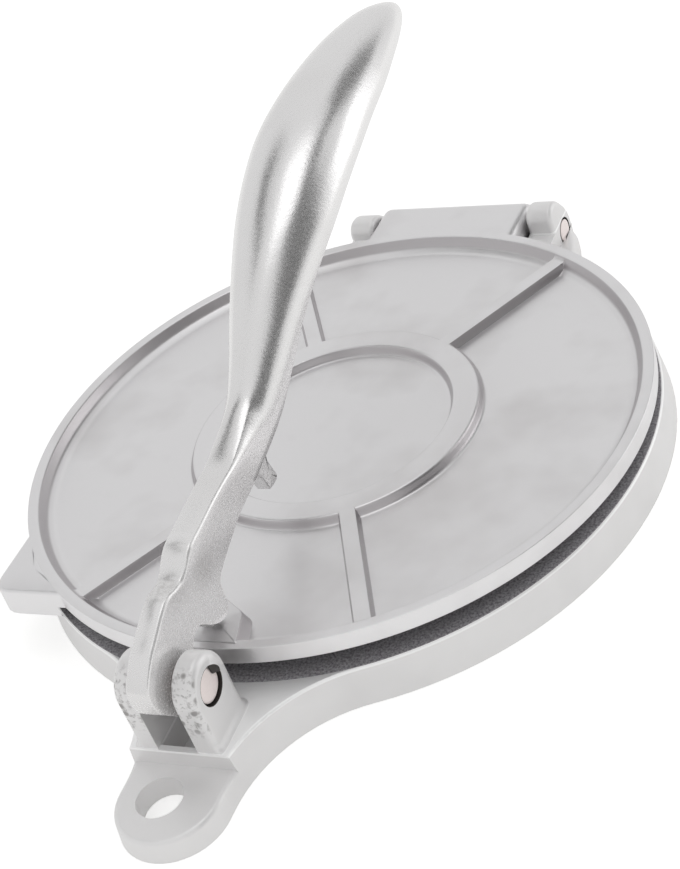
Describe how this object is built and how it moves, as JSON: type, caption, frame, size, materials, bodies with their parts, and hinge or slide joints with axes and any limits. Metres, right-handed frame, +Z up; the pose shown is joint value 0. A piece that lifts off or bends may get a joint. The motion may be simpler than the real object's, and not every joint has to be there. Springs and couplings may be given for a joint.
{
  "type": "tortilla press",
  "caption": "Cast-aluminium tortilla press: round base with hanging tab, hinged ribbed top plate with a thumb tab, and a spoon-shaped lever with a cam that bears on the plate's front pad.",
  "frame": {"origin": "centre of the round base disc, on the table plane that the press stands on", "axes": "+Z up; +Y from the centre towards the rear hinge; the lever's pivot and the hanging tab lie towards -Y; +X to the right seen from the front, with the thumb tab on the -X side"},
  "size_m": [0.2046, 0.2751, 0.1092],
  "materials": {
    "cast_aluminium": "satin cast, fine tumbled grain",
    "polished_aluminium": "tumbled and polished casting with sanded grain",
    "pin_steel": "turned and staked ends"
  },
  "bodies": {
    "base": {"base_plate": "cast_aluminium", "lever_pivot_pin": "pin_steel", "hinge_pin_left": "pin_steel", "hinge_pin_right": "pin_steel"},
    "plate": {"top_plate": "cast_aluminium"},
    "lever": {"press_lever": "polished_aluminium"}
  },
  "joints": [
    {"name": "lever_hinge", "type": "hinge", "parent": "base", "child": "lever", "pos_m": [0, -0.1161, 0.0297], "axis": [1, 0, 0], "range_deg": [0, 140]},
    {"name": "plate_hinge", "type": "hinge", "parent": "base", "child": "plate", "pos_m": [0, 0.114, 0.0077], "axis": [-1, 0, 0], "range_deg": [-1.78, 0]}
  ]
}
